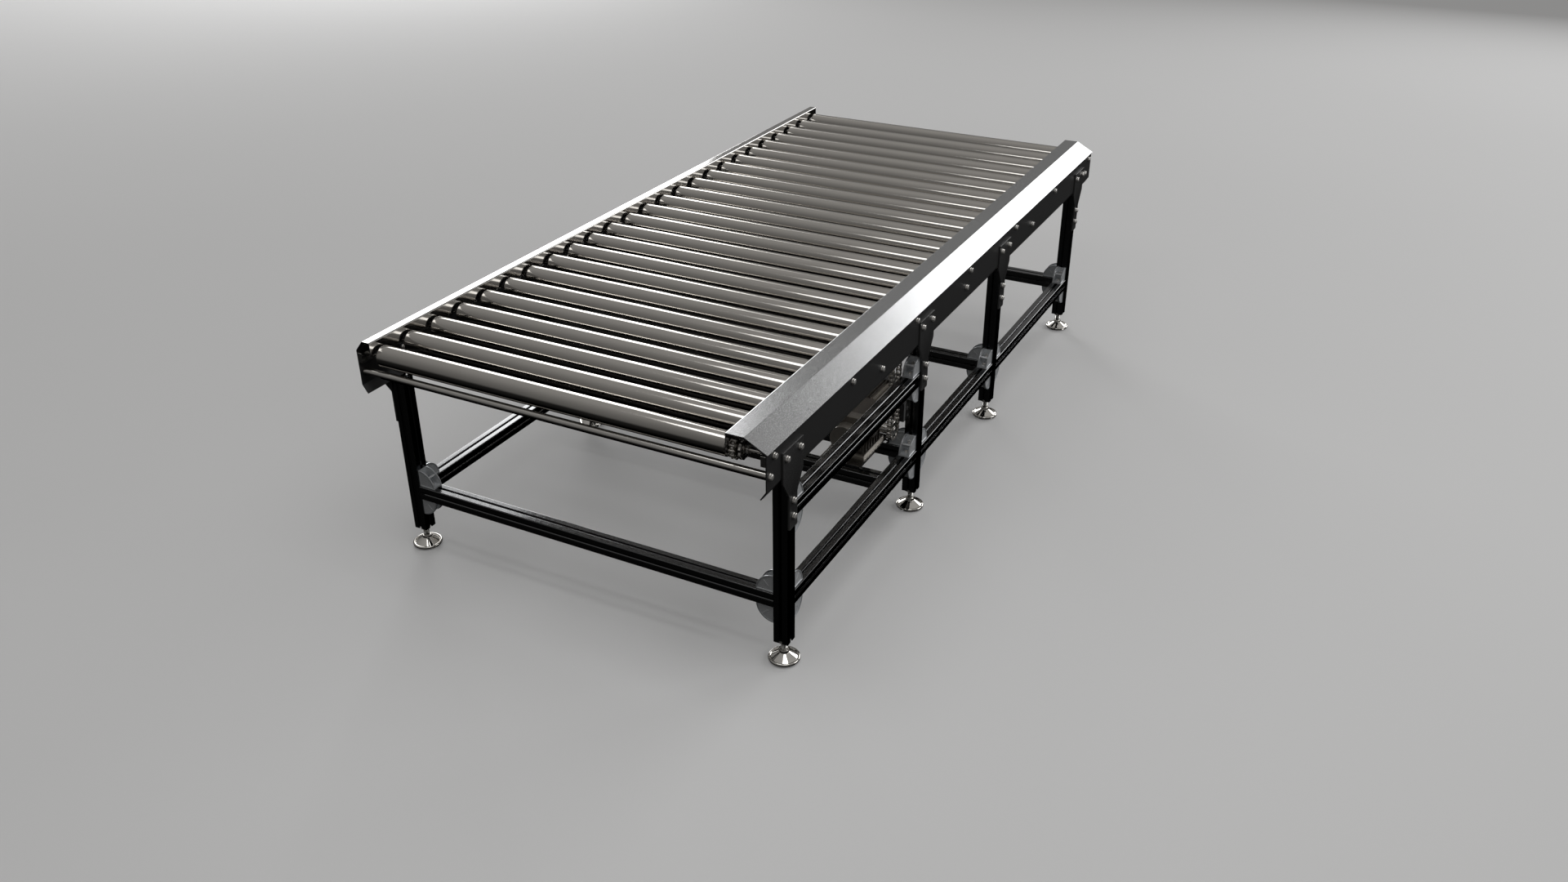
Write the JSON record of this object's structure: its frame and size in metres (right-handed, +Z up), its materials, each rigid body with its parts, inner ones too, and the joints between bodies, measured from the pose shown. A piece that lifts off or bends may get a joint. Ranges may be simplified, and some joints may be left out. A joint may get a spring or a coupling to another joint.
{
  "type": "roller conveyor",
  "caption": "Straight chain-driven roller conveyor: steel rollers between a guarded drive rail and an idle rail, on a T-slot stand with levelling feet.",
  "frame": {"origin": "on the floor, under the middle of the bed", "axes": "+X along the bed, +Y to the idle side, -Y the drive side, +Z up"},
  "size_m": [2.508, 1.202, 0.6678],
  "materials": {
    "roller_steel": "polished steel tube, fine brushed",
    "chain_steel": "oiled steel roller chain",
    "sprocket_steel": "machined steel sprocket",
    "axle_steel": "drawn steel bar",
    "zinc_fastener": "bright zinc plated fasteners",
    "guard_sheet": "satin grained stainless sheet",
    "rail_black": "black powder coated sheet",
    "rail_satin": "satin steel top with black coated web",
    "profile_black": "black anodised extrusion",
    "bracket_black": "black powder coated plate",
    "tie_steel": "bright steel bar",
    "cast_grey": "grey die-cast aluminium",
    "foot_chrome": "polished chrome plated foot on a black sole",
    "plate_steel": "bright steel plate",
    "gearbox_cast": "warm grey painted casting",
    "motor_cast": "warm grey finned housing",
    "cowl_black": "black fan cowl",
    "rotor_steel": "rotor shaft and fan",
    "box_black": "black terminal box"
  },
  "bodies": {
    "frame": {"roller_axles": "axle_steel", "axle_nuts": "zinc_fastener", "axle_bolts": "zinc_fastener", "axle_bars": "plate_steel", "roller_chains": "chain_steel", "drive_chain": "chain_steel", "idle_side_rail": "rail_satin", "chain_guard": "guard_sheet", "drive_side_rail": "rail_black", "tie_bars": "tie_steel", "tie_bar_bolts": "zinc_fastener", "legs": "profile_black", "cross_profiles": "profile_black", "lower_stringers": "profile_black", "upper_stringer": "profile_black", "leg_brackets": "bracket_black", "bracket_bolts": "zinc_fastener", "corner_gussets": "cast_grey", "gusset_screws": "zinc_fastener", "foot_lock_nuts": "zinc_fastener", "motor_base_plate": "plate_steel", "gearbox_housing": "gearbox_cast", "motor_housing": "motor_cast", "fan_cowl": "cowl_black", "terminal_box": "box_black"},
    "roller_01": {"roller_01": "roller_steel"},
    "roller_02": {"roller_02": "roller_steel"},
    "roller_03": {"roller_03": "roller_steel"},
    "roller_04": {"roller_04": "roller_steel"},
    "roller_05": {"roller_05": "roller_steel"},
    "roller_06": {"roller_06": "roller_steel"},
    "roller_07": {"roller_07": "roller_steel"},
    "roller_08": {"roller_08": "roller_steel"},
    "roller_09": {"roller_09": "roller_steel"},
    "roller_10": {"roller_10": "roller_steel"},
    "roller_11": {"roller_11": "roller_steel"},
    "roller_12": {"roller_12": "roller_steel"},
    "roller_13": {"roller_13": "roller_steel"},
    "roller_14": {"roller_14": "roller_steel"},
    "roller_15": {"roller_15": "roller_steel"},
    "roller_16": {"roller_16": "roller_steel"},
    "roller_17": {"roller_17": "roller_steel"},
    "roller_18": {"roller_18": "roller_steel"},
    "roller_19": {"roller_19": "roller_steel"},
    "roller_20": {"roller_20": "roller_steel"},
    "roller_21": {"roller_21": "roller_steel"},
    "roller_22": {"roller_22": "roller_steel"},
    "roller_23": {"roller_23": "roller_steel"},
    "roller_24": {"roller_24": "roller_steel"},
    "roller_25": {"roller_25": "roller_steel"},
    "output_shaft": {"drive_sprocket": "sprocket_steel"},
    "motor_rotor": {"motor_rotor": "rotor_steel"},
    "levelling_foot_drive_1": {"levelling_foot_drive_1": "foot_chrome"},
    "levelling_foot_drive_2": {"levelling_foot_drive_2": "foot_chrome"},
    "levelling_foot_drive_3": {"levelling_foot_drive_3": "foot_chrome"},
    "levelling_foot_drive_4": {"levelling_foot_drive_4": "foot_chrome"},
    "levelling_foot_idle_1": {"levelling_foot_idle_1": "foot_chrome"},
    "levelling_foot_idle_2": {"levelling_foot_idle_2": "foot_chrome"},
    "levelling_foot_idle_3": {"levelling_foot_idle_3": "foot_chrome"},
    "levelling_foot_idle_4": {"levelling_foot_idle_4": "foot_chrome"}
  },
  "joints": [
    {"name": "roller_01_spin", "type": "hinge", "parent": "frame", "child": "roller_01", "pos_m": [-1.2192, 0, 0.62], "axis": [0, 1, 0], "continuous": true, "deforming": ["roller_chains", "drive_chain"]},
    {"name": "roller_02_spin", "type": "hinge", "parent": "frame", "child": "roller_02", "pos_m": [-1.1176, 0, 0.62], "axis": [0, 1, 0], "continuous": true},
    {"name": "roller_03_spin", "type": "hinge", "parent": "frame", "child": "roller_03", "pos_m": [-1.016, 0, 0.62], "axis": [0, 1, 0], "continuous": true},
    {"name": "roller_04_spin", "type": "hinge", "parent": "frame", "child": "roller_04", "pos_m": [-0.9144, 0, 0.62], "axis": [0, 1, 0], "continuous": true},
    {"name": "roller_05_spin", "type": "hinge", "parent": "frame", "child": "roller_05", "pos_m": [-0.8128, 0, 0.62], "axis": [0, 1, 0], "continuous": true},
    {"name": "roller_06_spin", "type": "hinge", "parent": "frame", "child": "roller_06", "pos_m": [-0.7112, 0, 0.62], "axis": [0, 1, 0], "continuous": true},
    {"name": "roller_07_spin", "type": "hinge", "parent": "frame", "child": "roller_07", "pos_m": [-0.6096, 0, 0.62], "axis": [0, 1, 0], "continuous": true},
    {"name": "roller_08_spin", "type": "hinge", "parent": "frame", "child": "roller_08", "pos_m": [-0.508, 0, 0.62], "axis": [0, 1, 0], "continuous": true},
    {"name": "roller_09_spin", "type": "hinge", "parent": "frame", "child": "roller_09", "pos_m": [-0.4064, 0, 0.62], "axis": [0, 1, 0], "continuous": true},
    {"name": "roller_10_spin", "type": "hinge", "parent": "frame", "child": "roller_10", "pos_m": [-0.3048, 0, 0.62], "axis": [0, 1, 0], "continuous": true},
    {"name": "roller_11_spin", "type": "hinge", "parent": "frame", "child": "roller_11", "pos_m": [-0.2032, 0, 0.62], "axis": [0, 1, 0], "continuous": true},
    {"name": "roller_12_spin", "type": "hinge", "parent": "frame", "child": "roller_12", "pos_m": [-0.1016, 0, 0.62], "axis": [0, 1, 0], "continuous": true},
    {"name": "roller_13_spin", "type": "hinge", "parent": "frame", "child": "roller_13", "pos_m": [0, 0, 0.62], "axis": [0, 1, 0], "continuous": true},
    {"name": "roller_14_spin", "type": "hinge", "parent": "frame", "child": "roller_14", "pos_m": [0.1016, 0, 0.62], "axis": [0, 1, 0], "continuous": true},
    {"name": "roller_15_spin", "type": "hinge", "parent": "frame", "child": "roller_15", "pos_m": [0.2032, 0, 0.62], "axis": [0, 1, 0], "continuous": true},
    {"name": "roller_16_spin", "type": "hinge", "parent": "frame", "child": "roller_16", "pos_m": [0.3048, 0, 0.62], "axis": [0, 1, 0], "continuous": true},
    {"name": "roller_17_spin", "type": "hinge", "parent": "frame", "child": "roller_17", "pos_m": [0.4064, 0, 0.62], "axis": [0, 1, 0], "continuous": true},
    {"name": "roller_18_spin", "type": "hinge", "parent": "frame", "child": "roller_18", "pos_m": [0.508, 0, 0.62], "axis": [0, 1, 0], "continuous": true},
    {"name": "roller_19_spin", "type": "hinge", "parent": "frame", "child": "roller_19", "pos_m": [0.6096, 0, 0.62], "axis": [0, 1, 0], "continuous": true},
    {"name": "roller_20_spin", "type": "hinge", "parent": "frame", "child": "roller_20", "pos_m": [0.7112, 0, 0.62], "axis": [0, 1, 0], "continuous": true},
    {"name": "roller_21_spin", "type": "hinge", "parent": "frame", "child": "roller_21", "pos_m": [0.8128, 0, 0.62], "axis": [0, 1, 0], "continuous": true},
    {"name": "roller_22_spin", "type": "hinge", "parent": "frame", "child": "roller_22", "pos_m": [0.9144, 0, 0.62], "axis": [0, 1, 0], "continuous": true},
    {"name": "roller_23_spin", "type": "hinge", "parent": "frame", "child": "roller_23", "pos_m": [1.016, 0, 0.62], "axis": [0, 1, 0], "continuous": true},
    {"name": "roller_24_spin", "type": "hinge", "parent": "frame", "child": "roller_24", "pos_m": [1.1176, 0, 0.62], "axis": [0, 1, 0], "continuous": true},
    {"name": "roller_25_spin", "type": "hinge", "parent": "frame", "child": "roller_25", "pos_m": [1.2192, 0, 0.62], "axis": [0, 1, 0], "continuous": true},
    {"name": "output_shaft_spin", "type": "hinge", "parent": "frame", "child": "output_shaft", "pos_m": [-0.4064, -0.45, 0.2771], "axis": [0, 1, 0], "continuous": true},
    {"name": "motor_rotor_spin", "type": "hinge", "parent": "frame", "child": "motor_rotor", "pos_m": [-0.2564, -0.4155, 0.263], "axis": [1, 0, 0], "continuous": true},
    {"name": "levelling_foot_drive_1_height", "type": "slide", "parent": "frame", "child": "levelling_foot_drive_1", "axis": [0, 0, -1], "range_m": [-0.012, 0.025]},
    {"name": "levelling_foot_drive_2_height", "type": "slide", "parent": "frame", "child": "levelling_foot_drive_2", "axis": [0, 0, -1], "range_m": [-0.012, 0.025]},
    {"name": "levelling_foot_drive_3_height", "type": "slide", "parent": "frame", "child": "levelling_foot_drive_3", "axis": [0, 0, -1], "range_m": [-0.012, 0.025]},
    {"name": "levelling_foot_drive_4_height", "type": "slide", "parent": "frame", "child": "levelling_foot_drive_4", "axis": [0, 0, -1], "range_m": [-0.012, 0.025]},
    {"name": "levelling_foot_idle_1_height", "type": "slide", "parent": "frame", "child": "levelling_foot_idle_1", "axis": [0, 0, -1], "range_m": [-0.012, 0.025]},
    {"name": "levelling_foot_idle_2_height", "type": "slide", "parent": "frame", "child": "levelling_foot_idle_2", "axis": [0, 0, -1], "range_m": [-0.012, 0.025]},
    {"name": "levelling_foot_idle_3_height", "type": "slide", "parent": "frame", "child": "levelling_foot_idle_3", "axis": [0, 0, -1], "range_m": [-0.012, 0.025]},
    {"name": "levelling_foot_idle_4_height", "type": "slide", "parent": "frame", "child": "levelling_foot_idle_4", "axis": [0, 0, -1], "range_m": [-0.012, 0.025]}
  ],
  "couplings": [
    {"joint": "roller_02_spin", "follows": "roller_01_spin", "ratio": 1},
    {"joint": "roller_03_spin", "follows": "roller_01_spin", "ratio": 1},
    {"joint": "roller_04_spin", "follows": "roller_01_spin", "ratio": 1},
    {"joint": "roller_05_spin", "follows": "roller_01_spin", "ratio": 1},
    {"joint": "roller_06_spin", "follows": "roller_01_spin", "ratio": 1},
    {"joint": "roller_07_spin", "follows": "roller_01_spin", "ratio": 1},
    {"joint": "roller_08_spin", "follows": "roller_01_spin", "ratio": 1},
    {"joint": "roller_09_spin", "follows": "roller_01_spin", "ratio": 1},
    {"joint": "roller_10_spin", "follows": "roller_01_spin", "ratio": 1},
    {"joint": "roller_11_spin", "follows": "roller_01_spin", "ratio": 1},
    {"joint": "roller_12_spin", "follows": "roller_01_spin", "ratio": 1},
    {"joint": "roller_13_spin", "follows": "roller_01_spin", "ratio": 1},
    {"joint": "roller_14_spin", "follows": "roller_01_spin", "ratio": 1},
    {"joint": "roller_15_spin", "follows": "roller_01_spin", "ratio": 1},
    {"joint": "roller_16_spin", "follows": "roller_01_spin", "ratio": 1},
    {"joint": "roller_17_spin", "follows": "roller_01_spin", "ratio": 1},
    {"joint": "roller_18_spin", "follows": "roller_01_spin", "ratio": 1},
    {"joint": "roller_19_spin", "follows": "roller_01_spin", "ratio": 1},
    {"joint": "roller_20_spin", "follows": "roller_01_spin", "ratio": 1},
    {"joint": "roller_21_spin", "follows": "roller_01_spin", "ratio": 1},
    {"joint": "roller_22_spin", "follows": "roller_01_spin", "ratio": 1},
    {"joint": "roller_23_spin", "follows": "roller_01_spin", "ratio": 1},
    {"joint": "roller_24_spin", "follows": "roller_01_spin", "ratio": 1},
    {"joint": "roller_25_spin", "follows": "roller_01_spin", "ratio": 1},
    {"joint": "output_shaft_spin", "follows": "roller_01_spin", "ratio": 1},
    {"joint": "motor_rotor_spin", "follows": "roller_01_spin", "ratio": 10}
  ]
}
